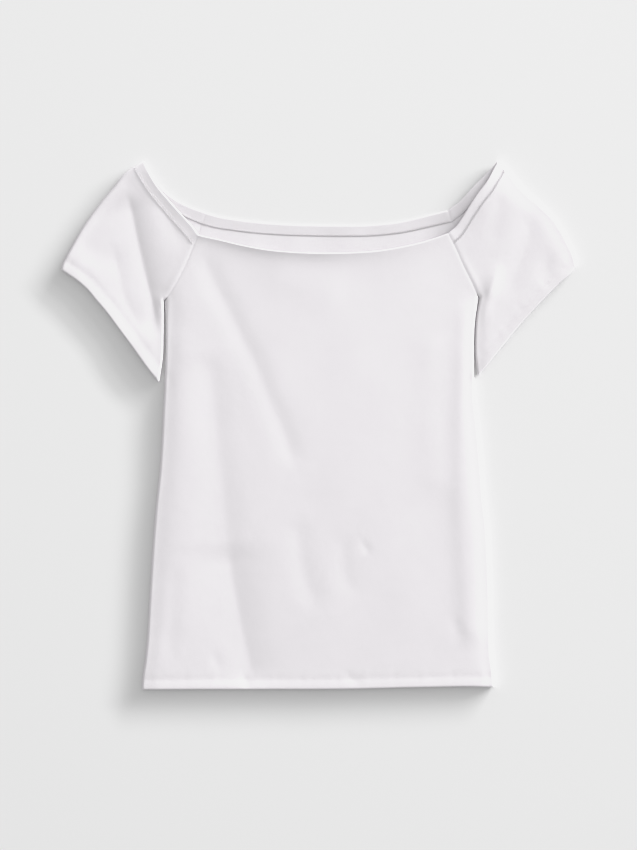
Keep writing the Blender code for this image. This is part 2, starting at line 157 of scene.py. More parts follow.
LEFT_SIDE = [
    (-184.6, 148.2), (-183.6, 128.4), (-183.4, 108.0), (-183.8, 80.4), (-184.8, 50.4),
    (-186.7, 18.0), (-188.4, -18.0), (-190.8, -54.0), (-194.6, -90.0), (-196.8, -114.0),
    (-199.8, -153.6), (-203.3, -210.0), (-205.8, -254.4), (-208.8, -284.4),
    (-211.2, -300.0), (-212.4, -316.8),
]
RIGHT_SIDE = [
    (191.4, 151.8), (187.7, 128.4), (186.2, 108.0), (186.0, 80.4), (186.0, 50.4),
    (187.0, 25.2), (190.8, -8.4), (194.4, -48.0), (197.5, -90.0), (201.1, -120.0),
    (203.0, -153.6), (204.7, -198.0), (205.2, -240.0), (206.4, -273.6), (208.8, -294.0),
    (210.6, -313.8),
]
HEM = [
    (-212.4, -316.8), (-142.8, -316.4), (-70.8, -316.3), (1.2, -316.2), (51.6, -315.6),
    (100.8, -314.4), (141.6, -313.6), (177.6, -313.1), (210.6, -313.8),
]
LEFT_UNDERARM = [
    (-185.8, 148.2), (-186.2, 128.4), (-186.5, 108.0), (-187.4, 80.4), (-192.0, 51.6),
]
RIGHT_UNDERARM = [
    (192.1, 151.8), (188.5, 128.4), (187.0, 108.0), (186.9, 82.8), (189.2, 59.4),
]
LEFT_SHOULDER = [
    (-210.0, 316.4), (-223.2, 308.4), (-235.2, 298.8), (-247.2, 283.8), (-262.8, 265.2),
    (-283.2, 237.0), (-298.8, 210.0), (-307.2, 194.4), (-309.6, 186.6),
]
RIGHT_SHOULDER = [
    (214.2, 316.4), (226.2, 303.6), (240.0, 286.2), (253.2, 273.6), (262.8, 265.8),
    (280.8, 248.4), (292.8, 230.4), (298.8, 218.4), (304.8, 206.4), (309.1, 192.0),
]
LEFT_CUFF = [
    (-192.0, 51.6), (-206.4, 69.6), (-223.2, 93.0), (-238.8, 114.0), (-254.4, 135.0),
    (-265.2, 147.6), (-277.2, 162.0), (-289.2, 172.8), (-301.2, 181.2), (-309.6, 186.6),
]
RIGHT_CUFF = [
    (190.4, 59.4), (199.2, 69.0), (213.6, 87.0), (232.8, 111.0), (253.2, 134.4),
    (273.6, 156.0), (289.2, 171.6), (301.2, 181.8), (309.1, 192.0),
]
LEFT_SLEEVE_NECK = [
    (-144.0, 227.4), (-152.4, 238.8), (-164.4, 252.0), (-178.8, 268.2), (-193.2, 285.6),
    (-204.0, 303.6), (-210.0, 316.4),
]
RIGHT_SLEEVE_NECK = [
    (154.8, 229.8), (164.4, 238.2), (171.6, 248.4), (181.2, 264.0), (190.8, 278.4),
    (201.6, 292.8), (214.2, 316.4),
]
LEFT_SLEEVE_BACK_NECK = [
    (-135.0, 254.4), (-154.8, 261.6), (-169.2, 268.8), (-181.2, 277.2), (-191.4, 288.0),
    (-201.6, 301.8), (-210.0, 316.4),
]
RIGHT_SLEEVE_BACK_NECK = [
    (154.8, 257.4), (169.2, 268.8), (183.6, 284.4), (199.2, 300.0), (214.2, 316.4),
]

# Folds of the upper layer: rise of the crest or trough, half width on its left and
# on its right, sharpness, and its line seen from above
FOLDS = [
    # the body
    (-0.5, 14.0, 13.0, 0.3, [
        (-141.6, 212.4), (-127.2, 174.0), (-110.4, 141.6), (-91.2, 102.0), (-74.4, 69.6),
        (-62.4, 38.4), (-38.4, -18.0), (-30.0, -54.0),
    ]),
    (-0.48, 22.0, 15.0, 0.2, [
        (-134.4, 90.0), (-127.2, 30.0), (-121.2, -26.4), (-110.4, -129.6), (-105.6, -162.0),
    ]),
    (-1.35, 44.0, 26.0, 0.6, [
        (-108.0, -138.0), (-105.6, -170.4), (-94.8, -230.4), (-82.8, -290.4), (-80.4, -318.0),
    ]),
    (-0.35, 14.0, 14.0, 0.2, [(-26.4, -108.0), (-19.2, -170.4), (1.2, -228.0)]),
    (-0.26, 12.0, 11.0, 0.2, [(28.8, -126.0), (31.2, -180.0), (51.6, -210.0)]),
    (0.6, 13.0, 24.0, 0.0, [
        (181.2, 150.0), (176.4, 69.6), (171.6, -9.6), (172.8, -114.0), (178.8, -210.0),
        (181.2, -270.0),
    ]),
    (0.22, 16.0, 22.0, 0.0, [
        (-159.6, 114.0), (-162.0, -30.0), (-169.2, -162.0), (-176.4, -258.0),
    ]),
    (0.35, 26.0, 30.0, 0.0, [(-68.4, 195.6), (-22.8, 174.0), (37.2, 159.6)]),
    (0.25, 18.0, 20.0, 0.0, [(135.6, 114.0), (133.2, 6.0), (140.4, -90.0)]),
    (-0.22, 9.0, 10.0, 0.0, [(-171.6, -162.0), (-176.4, -234.0), (-181.2, -294.0)]),
    # the left sleeve
    (-1.8, 46.0, 17.0, 0.85, [
        (-231.6, 282.0), (-224.4, 255.6), (-216.0, 216.0), (-207.6, 180.0), (-200.4, 150.0),
        (-193.2, 120.0), (-189.6, 102.0),
    ]),
    (-0.5, 22.0, 13.0, 0.6, [
        (-249.6, 222.0), (-241.2, 189.6), (-234.0, 156.0), (-220.8, 128.4), (-211.2, 110.4),
    ]),
    (-0.35, 12.0, 10.0, 0.3, [
        (-199.2, 276.0), (-186.0, 255.6), (-171.6, 230.4), (-157.2, 206.4),
    ]),
    (-0.9, 30.0, 42.0, 0.0, [(-214.8, 312.0), (-259.2, 264.0), (-298.8, 198.0)]),
    # the right sleeve
    (-0.3, 12.0, 11.0, 0.2, [(217.2, 288.0), (213.6, 246.0), (201.6, 210.0)]),
    (-0.42, 14.0, 13.0, 0.3, [(250.8, 264.0), (250.8, 225.6), (234.0, 177.6), (218.4, 147.6)]),
    (-0.32, 12.0, 12.0, 0.2, [(272.4, 216.0), (272.4, 158.4)]),
    (1.0, 9.0, 8.0, 0.4, [(217.2, 195.6), (207.6, 168.0), (198.0, 144.0), (189.6, 116.4)]),
    # small creases
    (-0.3, 5.0, 4.0, 0.8, [(49.2, -135.6), (55.2, -145.2), (62.4, -157.2)]),
    (-0.26, 6.0, 5.0, 0.6, [(26.4, -290.4), (37.2, -301.2), (51.6, -315.6)]),
    (-0.22, 8.0, 8.0, 0.3, [(156.0, -224.4), (166.8, -246.0), (176.4, -262.8)]),
    (-0.42, 6.0, 4.0, 0.7, [(-91.2, -296.4), (-86.4, -306.0), (-84.0, -318.0)]),
    (-0.22, 6.0, 6.0, 0.3, [(-126.0, -270.0), (-120.0, -296.4)]),
]


# Curves in plan

def lengths(points):
    """Distance along a line of points, from its first point."""
    steps = np.linalg.norm(np.diff(points, axis=0), axis=1)
    return np.concatenate([[0.0], np.cumsum(steps)])


def at(points, distances):
    """Points of a line at the given distances along it."""
    along = lengths(points)
    return np.stack([np.interp(distances, along, col) for col in points.T], axis=1)


def smooth(table, step=1.0):
    """A smooth line through the points of a table, evenly sampled."""
    knots = np.array(table, float)
    before = 2 * knots[0] - knots[1]
    after = 2 * knots[-1] - knots[-2]
    knots = np.vstack([before, knots, after])
    line = []
    for k in range(1, len(knots) - 2):
        a, b, c, d = knots[k - 1:k + 3]
        t = np.linspace(0.0, 1.0, 24, endpoint=False)[:, None]
        cubic = 2 * b + (c - a) * t + (2 * a - 5 * b + 4 * c - d) * t ** 2
        line.append(0.5 * (cubic + (3 * b - a - 3 * c + d) * t ** 3))
    line = np.vstack(line + [knots[-2:-1]])
    whole = lengths(line)[-1]
    return at(line, np.linspace(0.0, whole, int(whole / step) + 2))


def offset(line, distance):
    """The line moved to its left by a distance, or by one distance per point."""
    along = unit(np.gradient(line, axis=0))
    across = np.stack([-along[:, 1], along[:, 0]], axis=1)
    return line + across * np.reshape(distance, (-1, 1))


def pinned(line, start, end):
    """The line with its ends moved to two points, and the rest carried along."""
    share = (lengths(line) / lengths(line)[-1])[:, None]
    return line + (1 - share) * (start - line[0]) + share * (end - line[-1])


def nearest(x, y, line):
    """Distance to a line, its side (left positive) and distance along it."""
    shape = x.shape
    p = np.stack([x.ravel(), y.ravel()], axis=1)
    best = np.full(len(p), 1e9)
    side = np.zeros(len(p))
    place = np.zeros(len(p))
    along = lengths(line)
    for k in range(len(line) - 1):
        a, run = line[k], line[k + 1] - line[k]
        span = float(run @ run)
        t = np.clip(((p - a) @ run) / span, 0.0, 1.0)
        gap = p - (a + t[:, None] * run)
        far = np.hypot(gap[:, 0], gap[:, 1])
        closer = far < best
        best[closer] = far[closer]
        turn = run[0] * gap[:, 1] - run[1] * gap[:, 0]
        side[closer] = np.sign(turn[closer])
        place[closer] = (along[k] + t * math.sqrt(span))[closer]
    return best.reshape(shape), side.reshape(shape), place.reshape(shape)


def ease(value):
    """Smooth step from 0 to 1."""
    t = np.clip(value, 0.0, 1.0)
    return t * t * (3 - 2 * t)


def unit(vectors):
    return vectors / np.linalg.norm(vectors, axis=-1, keepdims=True)


def bell(distance, width):
    """1 on a line, falling away smoothly over the width."""
    return np.exp(-(distance / width) ** 2)


def crease(distance, width):
    """1 on a line, falling away at once and then ever more slowly."""
    past_crest = CREST_ROUND - np.hypot(distance, CREST_ROUND)
    return np.exp(past_crest / (FLANK_SPREAD * width))


# Levels of the two layers

COARSE = 6.0
LINES = {
    "left_side": smooth(LEFT_SIDE, COARSE),
    "right_side": smooth(RIGHT_SIDE, COARSE),
    "hem": smooth(HEM, COARSE),
    "left_underarm": smooth(LEFT_UNDERARM, COARSE),
    "right_underarm": smooth(RIGHT_UNDERARM, COARSE),
    "left_shoulder": smooth(LEFT_SHOULDER, COARSE),
    "right_shoulder": smooth(RIGHT_SHOULDER, COARSE),
    "left_cuff": smooth(LEFT_CUFF, COARSE),
    "right_cuff": smooth(RIGHT_CUFF, COARSE),
    "front_neck": smooth(FRONT_NECK, COARSE),
    "left_sleeve_neck": smooth(LEFT_SLEEVE_NECK, COARSE),
    "right_sleeve_neck": smooth(RIGHT_SLEEVE_NECK, COARSE),
    "left_raglan": smooth(LEFT_RAGLAN, COARSE),
    "right_raglan": smooth(RIGHT_RAGLAN, COARSE),
    "left_back_raglan": smooth(LEFT_BACK_RAGLAN, COARSE),
    "right_back_raglan": smooth(RIGHT_BACK_RAGLAN, COARSE),
}
FRONT_SEAMS = ["left_raglan", "right_raglan"]
BACK_SEAMS = ["left_back_raglan", "right_back_raglan"]
SIDES = ["left_side", "right_side", "left_underarm", "right_underarm"]
SHOULDERS = ["left_shoulder", "right_shoulder"]


def closest(x, y, names):
    """Distance to the nearest of several lines."""
    return np.min([nearest(x, y, LINES[name])[0] for name in names], axis=0)


def cloth_level(x, y):
    """Level of the upper layer: lowest at the right shoulder and right side."""
    across = LOW_SIDE_WAY[0] * x + LOW_SIDE_WAY[1] * y
    return FRONT_LEVEL - LOW_SIDE_FALL * ease((across - LOW_SIDE_START) / LOW_SIDE_RUN)


def peak_lift(x, y):
    """How far the right shoulder point stands clear of the surface."""
    far = np.hypot(x - RIGHT_PEAK[0], y - RIGHT_PEAK[1])
    return PEAK_LIFT * bell(far, PEAK_WIDTH)


def neck_roll(x, y):
    """The neck edge stands up and the cloth falls away from it."""
    place, rise, reach = np.array(NECK_ROLL).T
    rise = np.interp(x, place, rise)
    reach = np.interp(x, place, reach)
    front = rise * np.exp(-nearest(x, y, LINES["front_neck"])[0] / reach)
    far = closest(x, y, ["left_sleeve_neck", "right_sleeve_neck"])
    return np.maximum(front, SLEEVE_NECK_RISE * np.exp(-far / SLEEVE_NECK_ROLL))


def fold_rise(x, y):
    """Sum of the folds of the upper layer."""
    total = np.zeros_like(x)
    for rise, left, right, sharp, table in FOLDS:
        line = smooth(table, COARSE)
        far, side, place = nearest(x, y, line)
        width = np.where(side > 0, right, left)
        whole = lengths(line)[-1]
        run = min(FOLD_RUN_OUT, whole / 2)
        ends = ease((place + FOLD_PAST_END) / run)
        ends = ends * ease((whole + FOLD_PAST_END - place) / run)
        form = (1 - sharp) * bell(far, width) + sharp * crease(far, width)
        total += rise * form * ends
    return total


def slack(x, y, seed, spacing, height):
    """Gentle unevenness of cloth that lies slack: a few crossing long waves."""
    random = np.random.default_rng(seed)
    total = np.zeros_like(x)
    for turn in random.uniform(-1.1, 1.1, 7):
        pace = 2 * math.pi / (spacing * random.uniform(0.7, 1.6))
        phase = random.uniform(0.0, 2 * math.pi)
        total += np.sin(pace * (x * math.cos(turn) + y * math.sin(turn)) + phase)
    return height * total / 7


def puckers(x, y):
    """Small ripples that the hem stitching pulls into the cloth."""
    total = np.zeros_like(x)
    for seed, (name, depth) in enumerate(
        [("hem", BODY_HEM), ("left_cuff", CUFF_HEM), ("right_cuff", CUFF_HEM)]
    ):
        far, _, place = nearest(x, y, LINES[name])
        random = np.random.default_rng(seed + PUCKER_SEED)
        wave = np.zeros_like(x)
        for pitch in PUCKER_PITCHES:
            wave += np.sin(place * 2 * math.pi / pitch + random.uniform(0, FULL_TURN))
        total += PUCKER_HEIGHT * wave * bell(far - depth + 1.0, PUCKER_REACH)
        total += HEM_STAND * (1 - ease(far / depth))
        total -= HEM_SINK * bell(far - depth + 1.6, HEM_SINK_WIDTH)
    return total


def seam_relief(x, y, names, on_sleeve):
    """The seams sink at the stitching, beside the allowance turned to the sleeve."""
    total = np.zeros_like(x)
    for name in names:
        far, _, place = nearest(x, y, LINES[name])
        total -= SEAM_SINK * bell(far, SEAM_SINK_WIDTH)
        if on_sleeve:
            by_armpit = ease(place / lengths(LINES[name])[-1])
            ridge = ALLOWANCE_RISE + ALLOWANCE_BY_ARMPIT * by_armpit
            total += ridge * bell(far - ALLOWANCE_PLACE, ALLOWANCE_WIDTH)
    return total


def front_level(x, y, on_sleeve):
    """Level of the upper layer away from its fold edges."""
    to_fold = closest(x, y, SIDES + SHOULDERS)
    by_fold = bell(np.maximum(to_fold - FOLD_RADIUS, 0.0), EDGE_WIDTH)
    level = cloth_level(x, y) + fold_rise(x, y) * (1 - FADE_BY_EDGE * by_fold ** 2)
    level += neck_roll(x, y) * (1 - ROLL_FADE_BY_EDGE * by_fold) - EDGE_FALL * by_fold
    level += seam_relief(x, y, FRONT_SEAMS, on_sleeve) + puckers(x, y)
    return level + slack(x, y, *FRONT_SLACK)


def fold_profile(plan, edge, armpit_row=None):
    """0 at a fold edge, rising along a quarter ellipse to 1 above it."""
    line = edge.copy()
    width = np.full(len(line), FOLD_RADIUS)
    if armpit_row is not None:
        past = np.linalg.norm(line - line[armpit_row], axis=1)
        past[:armpit_row] = 0.0
        line[:armpit_row] = line[armpit_row]
        width += (ARMPIT_RADIUS - FOLD_RADIUS) * bell(past, ARMPIT_REACH)
    far = np.linalg.norm(plan - line[:, None], axis=2)
    part = 1 - np.clip(far / width[:, None], 0.0, 1.0)
    return np.sqrt(np.maximum(1 - part ** 2, 0.0))


def fold_middle(x, y):
    """Level at which the two layers meet along a fold."""
    return BACK_LEVEL + 0.5 * (cloth_level(x, y) - EDGE_FALL - BACK_LEVEL)


def front_height(plan, rise, on_sleeve):
    """Height of the middle of the upper layer."""
    x, y = plan[:, :, 0], plan[:, :, 1]
    start = fold_middle(x, y) + SEAM_GAP / 2
    return peak_lift(x, y) + start + (front_level(x, y, on_sleeve) - start) * rise


def back_height(plan, rise):
    """Height of the middle of the lower layer."""
    x, y = plan[:, :, 0], plan[:, :, 1]
    start = fold_middle(x, y) - SEAM_GAP / 2
    rest = BACK_LEVEL + BACK_RISE + slack(x, y, *BACK_SLACK)
    rest += seam_relief(x, y, BACK_SEAMS, False)
    return peak_lift(x, y) + start + (rest - start) * rise


# Cut outlines at the middle of the cloth

def seam_edge(table, body_on_left):
    """Edge of a piece along a raglan seam, from the neck to the armpit."""
    line = smooth(table)
    to_armpit = lengths(line)[-1] - lengths(line)
    gap = SEAM_GAP / 2 + ARMPIT_OPENING * bell(to_armpit, ARMPIT_OPENING_REACH)
    moved = offset(line, gap if body_on_left else -gap)
    return at(moved, np.linspace(HEM_INSET, lengths(moved)[-1], len(moved)))


def seam_rows(edge):
    """Points of a seam edge for the rows: the hem, then on to the armpit."""
    whole = lengths(edge)[-1]
    start = NECK_HEM - HEM_INSET
    hem = np.linspace(0.0, start, HEM_STEPS + 1)[:-1]
    return at(edge, np.concatenate([hem, np.linspace(start, whole, SEAM_STEPS + 1)]))


def fold_rows(line, inset, start, end, hem, near, count):
    """Points along a fold edge for the rows: beside the sleeve, evenly on, the hem."""
    moved = pinned(offset(line, inset), start, end)
    whole = lengths(moved)[-1]
    stitch = whole - (hem - HEM_INSET)
    near = near[near < stitch - STITCH_CLEAR] if count == 0 else near
    even = np.linspace(near[-1], stitch, count + 2)[1:] if count else [stitch]
    last = np.linspace(stitch, whole, HEM_STEPS + 1)[1:]
    return at(moved, np.concatenate([near, even, last]))


def patch(left, right, top, bottom, columns):
    """Grid of plan points filling four boundary lines. Rows follow left and right."""
    u = columns[None, :, None]
    left_share = lengths(left) / lengths(left)[-1]
    right_share = lengths(right) / lengths(right)[-1]
    v = ((left_share + right_share) / 2)[:, None, None]
    upper = pinned(at(top, columns * lengths(top)[-1]), left[0], right[0])[None]
    lower = pinned(at(bottom, columns * lengths(bottom)[-1]), left[-1], right[-1])[None]
    sides = (1 - u) * left[:, None] + u * right[:, None]
    ends = (1 - v) * upper + v * lower
    corners = (1 - v) * ((1 - u) * left[0] + u * right[0])
    corners = corners + v * ((1 - u) * left[-1] + u * right[-1])
    return sides + ends - corners


def columns_for(width, pitch):
    """Column shares across a piece: close together at its edges, even between."""
    head = np.array(ROUND) / width
    tail = 1 - head[::-1]
    middle = int(width / pitch)
    between = np.linspace(head[-1], tail[0], middle + 1)[1:-1]
    return np.concatenate([head, between, tail])


# Sheets, hems and thickness

def tangents(rows):
    """Direction of a grid down its first axis: the mean of the two steps at a point."""
    steps = unit(np.diff(rows, axis=0))
    steps = np.concatenate([steps[:1], steps, steps[-1:]])
    return unit(steps[:-1] + steps[1:])


def outward(sheet, flip):
    """Unit normals of a grid of points, out of the garment, level at its fold edges."""
    down = tangents(sheet)
    across = tangents(sheet.transpose(1, 0, 2)).transpose(1, 0, 2)
    normal = unit(np.cross(down, across) if flip else np.cross(across, down))
    for column in (0, -1):
        at_fold = np.abs(normal[:, column, 2]) < 0.4
        normal[at_fold, column, 2] = 0.0
    return unit(normal)


def drawn_in(row):
    """A row with its start moved a little along itself, clear of the next piece."""
    far = np.linalg.norm(row - row[0], axis=1)
    share = np.clip(1 - far / FOLD_RADIUS, 0.0, 1.0)[:, None]
    return row + HEM_END_EASE * share * unit(row[5] - row[0])


def turned(rows, normal):
    """Rows of a hem turned to the inside: round the edge and back to the stitching."""
    out = rows[0] - rows[1]
    out = unit(out - (out * normal[0]).sum(axis=1)[:, None] * normal[0])
    radius = PLY_STEP / 2
    ring = []
    for angle in np.radians([36, 72, 108, 144]):
        reach = out * radius * math.sin(angle)
        row = rows[0] + reach - normal[0] * radius * (1 - math.cos(angle))
        ring.append(drawn_in(drawn_in(row)[::-1])[::-1])
    flat = np.linspace(1.0, RAW_EDGE, len(rows))
    return ring + [row - way * PLY_STEP * k for row, way, k in zip(rows, normal, flat)]


def with_hems(sheet, flip):
    """The sheet with the hems along its first and last rows turned under."""
    normal = outward(sheet, flip)
    count = HEM_STEPS + 1
    first = turned(sheet[:count], normal[:count])
    last = turned(sheet[::-1][:count], normal[::-1][:count])
    return np.stack(first[::-1] + list(sheet) + last)


# Body panels

UNDERARM_LONG = 94.0
UNDERARM_ROWS = np.linspace(0.0, UNDERARM_LONG, UNDERARM_STEPS + 1)[1:]


def body_sheet(left_seam, right_seam, neck, is_front, pitch):
    """Grid of a body panel from the neck edge down to the hem edge."""
    left_edge = seam_rows(seam_edge(left_seam, True))
    right_edge = seam_rows(seam_edge(right_seam, False))
    hem = offset(smooth(HEM), HEM_INSET)
    left_corner = hem[0] + np.array([EDGE_INSET, 0.0])
    right_corner = hem[-1] - np.array([EDGE_INSET, 0.0])
    hem = pinned(hem, left_corner, right_corner)
    count = int(BODY_LONG / pitch)
    left_side = fold_rows(
        smooth(LEFT_SIDE), EDGE_INSET, left_edge[-1], left_corner,
        BODY_HEM, UNDERARM_ROWS, count,
    )
    right_side = fold_rows(
        smooth(RIGHT_SIDE), -EDGE_INSET, right_edge[-1], right_corner,
        BODY_HEM, UNDERARM_ROWS, count,
    )
    left = np.vstack([left_edge, left_side])
    right = np.vstack([right_edge, right_side])
    top = pinned(offset(smooth(neck), -HEM_INSET), left[0], right[0])
    plan = patch(left, right, top, hem, columns_for(BODY_WIDE, pitch))
    armpit = len(left_edge) - 1
    rise = fold_profile(plan, plan[:, 0], armpit) * fold_profile(plan, plan[:, -1], armpit)
    level = front_height(plan, rise, False) if is_front else back_height(plan, rise)
    return np.dstack([plan, level])


# Sleeves

def sleeve_half(seam, underarm, shoulder, neck, cuff, corners, leftward, columns):
    """Plan grid of one layer of a sleeve, from its seam across to the shoulder fold."""
    way = -1.0 if leftward else 1.0
    edge = seam_rows(seam_edge(seam, not leftward))
    peak, tip, corner = corners
    under = fold_rows(
        smooth(underarm), way * EDGE_INSET, edge[-1], corner, CUFF_HEM, UNDERARM_ROWS, 0
    )
    side = np.vstack([edge, under])
    fold = pinned(smooth(shoulder), peak, tip)
    whole = lengths(fold)[-1]
    start = NECK_HEM - HEM_INSET
    stop = whole - (CUFF_HEM - HEM_INSET)
    neck_hem = np.linspace(0.0, start, HEM_STEPS + 1)[:-1]
    middle = np.linspace(start, stop, len(side) - 2 * HEM_STEPS)
    cuff_hem = np.linspace(stop, whole, HEM_STEPS + 1)[1:]
    fold = at(fold, np.concatenate([neck_hem, middle, cuff_hem]))
    top = pinned(smooth(neck), side[0], peak)
    bottom = pinned(smooth(cuff), corner, tip)
    return patch(side, fold, top, bottom, columns), len(edge) - 1


def sleeve_corners(shoulder, cuff, leftward):
    """Peak, cuff tip and underarm corner, moved in from the finished outline."""
    way = 1.0 if leftward else -1.0
    fold = smooth(shoulder)
    hem = smooth(cuff)
    down = unit(fold[3] - fold[0])
    along = unit(hem[-1] - hem[-4])
    inside = np.array([-along[1], along[0]]) * -way
    peak = fold[0] + down * (HEM_INSET + TIP_EASE) + np.array([way, 0.0]) * EDGE_INSET
    tip = hem[-1] - along * (EDGE_INSET + TIP_EASE) + inside * HEM_INSET
    start = unit(hem[3] - hem[0])
    inside = np.array([-start[1], start[0]]) * -way
    corner = hem[0] + start * EDGE_INSET + inside * HEM_INSET
    return peak, tip, corner


def sleeve_sheet(side, tables):
    """Grid of a sleeve: upper layer from its seam to the fold, then the lower layer."""
    seam, back_seam, underarm, shoulder, neck, back_neck, cuff = tables
    leftward = side == "left"
    corners = sleeve_corners(shoulder, cuff, leftward)
    columns = columns_for(SLEEVE_DEEP, SLEEVE_PITCH)
    upper, armpit = sleeve_half(
        seam, underarm, shoulder, neck, cuff, corners, leftward, columns
    )
    lower, armpit = sleeve_half(
        back_seam, underarm, shoulder, back_neck, cuff, corners, leftward, columns
    )
    lower = lower[:, ::-1]
    rise = fold_profile(upper, upper[:, 0], armpit) * fold_profile(upper, upper[:, -1])
    upper_level = front_height(upper, rise, True)
    rise = fold_profile(lower, lower[:, -1], armpit) * fold_profile(lower, lower[:, 0])
    lower_level = back_height(lower, rise)
    upper_level[:, -1] = (upper_level[:, -1] + lower_level[:, 0]) / 2
    upper = np.dstack([upper, upper_level])
    lower = np.dstack([lower, lower_level])
    return np.concatenate([upper, lower[:, 1:]], axis=1)


# Materials

class Socket:
    """A node output that can be added, multiplied and so on in a material."""

    def __init__(self, board, output):
        self.board = board
        self.output = output

    def _math(self, operation, *others):
        values = {0: self}
        for k, other in enumerate(others):
            values[k + 1] = other
        return self.board.add("ShaderNodeMath", {"operation": operation}, values)

    def __add__(self, other):
        return self._math("ADD", other)

    __radd__ = __add__

    def __sub__(self, other):
        return self._math("SUBTRACT", other)

    def __rsub__(self, other):
        return self._math("MULTIPLY_ADD", -1.0, other)

    def __mul__(self, other):
        return self._math("MULTIPLY", other)

    __rmul__ = __mul__

    def __pow__(self, other):
        return self._math("POWER", other)

    def fraction(self):
        return self._math("FRACT")

    def absolute(self):
        return self._math("ABSOLUTE")

    def sine(self):
        return self._math("SINE")


class Board:
    """A material's node board."""

    def __init__(self, name):
        self.material = bpy.data.materials.new(name)
        self.material.use_nodes = True
        self.nodes = self.material.node_tree.nodes
        self.links = self.material.node_tree.links
        self.shader = self.nodes["Principled BSDF"]

    def add(self, kind, settings=None, values=None, output=0):
        node = self.nodes.new(kind)
        for key, value in (settings or {}).items():
            setattr(node, key, value)
        for key, value in (values or {}).items():
            self.put(node, key, value)
        return Socket(self, node.outputs[output])

    def put(self, node, key, value):
        if isinstance(value, Socket):
            self.links.new(value.output, node.inputs[key])
        else:
            node.inputs[key].default_value = value


WALE = 0.0009
COURSE = 0.0007


def jersey(name, tone, knit=1.0):
    """Fine white cotton jersey: rows of small V loops, faint slubs, a soft nap."""
    board = Board(name)
    place = board.add("ShaderNodeUVMap", {"uv_map": "knit"})
    parts = board.nodes.new("ShaderNodeSeparateXYZ")
    board.put(parts, 0, place)
    u = Socket(board, parts.outputs[0])
    v = Socket(board, parts.outputs[1])
    slub = board.add(
        "ShaderNodeTexNoise", {"noise_dimensions": "2D"},
        {"Vector": place, "Scale": 160.0, "Detail": 3.0, "Roughness": 0.6},
    )
    cloud = board.add(
        "ShaderNodeTexNoise", {"noise_dimensions": "2D"},
        {"Vector": place, "Scale": 14.0, "Detail": 4.0, "Roughness": 0.55},
    )
    across = ((u * (1 / WALE) + slub * 0.25).fraction() - 0.5).absolute() * 2.0
    along = v * (1 / COURSE) + across * 0.45 + slub * 0.3
    loops = (along * (2 * math.pi)).sine() * 0.5 + 0.5
    height = (1.0 - across * across) * 0.6 + loops * 0.4
    # Colour: faint random mottling of the yarn, plus painted shade from the knit: a little
    # lighter on the tops of the loops, darker down between them
    tint = board.add(
        "ShaderNodeMix", {"data_type": "RGBA", "clamp_factor": True},
        {0: (cloud - 0.5) * 0.7 + (height - 0.5) * 0.25 + 0.5,
         6: tuple(c * 0.975 for c in tone) + (1.0,),
         7: tuple(min(c * 1.012, 1.0) for c in tone) + (1.0,)},
        output=2,
    )
    board.put(board.shader, "Base Color", tint)
    board.put(board.shader, "Roughness", 0.86 + (slub - 0.5) * 0.12)
    knit_bump = board.add(
        "ShaderNodeBump", {},
        {"Strength": 0.22 * knit, "Distance": 0.00025, "Height": height + slub * 0.35},
    )
    cloth_bump = board.add(
        "ShaderNodeBump", {},
        {"Strength": 0.10 * knit, "Distance": 0.002, "Height": cloud, "Normal": knit_bump},
    )
    board.put(board.shader, "Normal", cloth_bump)
    board.shader.inputs["Sheen Weight"].default_value = 0.08
    board.shader.inputs["Sheen Roughness"].default_value = 0.5
    board.shader.inputs["Specular IOR Level"].default_value = 0.25
    return board.material


def thread_finish(name, tone):
    """White sewing thread with its twist."""
    board = Board(name)
    place = board.add("ShaderNodeTexCoord", output=3)
    noise = board.add("ShaderNodeTexNoise", {}, {"Vector": place, "Scale": 900.0, "Detail": 2.0})
    tint = board.add(
        "ShaderNodeMix", {"data_type": "RGBA"},
        {0: noise, 6: tuple(c * 0.94 for c in tone) + (1.0,), 7: tone + (1.0,)},
        output=2,
    )
    board.put(board.shader, "Base Color", tint)
    board.put(board.shader, "Roughness", 0.5 + noise * 0.3)
    bump = board.add(
        "ShaderNodeBump", {}, {"Strength": 0.3, "Distance": 0.0002, "Height": noise}
    )
    board.put(board.shader, "Normal", bump)
    return board.material


def paper_finish(name, tone):
    """A plain matt pale surface."""
    board = Board(name)
    place = board.add("ShaderNodeTexCoord", output=3)
    noise = board.add("ShaderNodeTexNoise", {}, {"Vector": place, "Scale": 6.0, "Detail": 2.0})
    tint = board.add(
        "ShaderNodeMix", {"data_type": "RGBA"},
        {0: noise, 6: tuple(c * 0.995 for c in tone) + (1.0,), 7: tone + (1.0,)},
        output=2,
    )
    board.put(board.shader, "Base Color", tint)
    board.put(board.shader, "Roughness", 0.9)
    board.shader.inputs["Specular IOR Level"].default_value = 0.1
    return board.material


# Pieces

def cloth_piece(name, node, sheet, material, wale_angle):
    """A grid of cloth laid on the sheet's points and given its thickness."""
    rows, columns = sheet.shape[:2]
    mesh = bpy.data.meshes.new(name)
    work = bmesh.new()
    bmesh.ops.create_grid(work, x_segments=columns - 1, y_segments=rows - 1, size=1.0)
    for vertex in work.verts:
        column = round((vertex.co.x + 1) / 2 * (columns - 1))
        row = round((1 - vertex.co.y) / 2 * (rows - 1))
        vertex.co = sheet[row, column] * MM
    knit = work.loops.layers.uv.new("knit")
    c, s = math.cos(wale_angle), math.sin(wale_angle)
    for face in work.faces:
        face.smooth = True
        for loop in face.loops:
            x, y, _ = loop.vert.co
            loop[knit].uv = (x * c + y * s, y * c - x * s)
    work.to_mesh(mesh)
    work.free()
    mesh.materials.append(material)
    piece = bpy.data.objects.new(name, mesh)
    bpy.context.scene.collection.objects.link(piece)
    thick = piece.modifiers.new("cloth thickness", "SOLIDIFY")
    thick.thickness = THICKNESS * MM
    thick.offset = 0.0
    thick.use_quality_normals = True
    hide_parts(node)
    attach(piece, "root")
    return piece


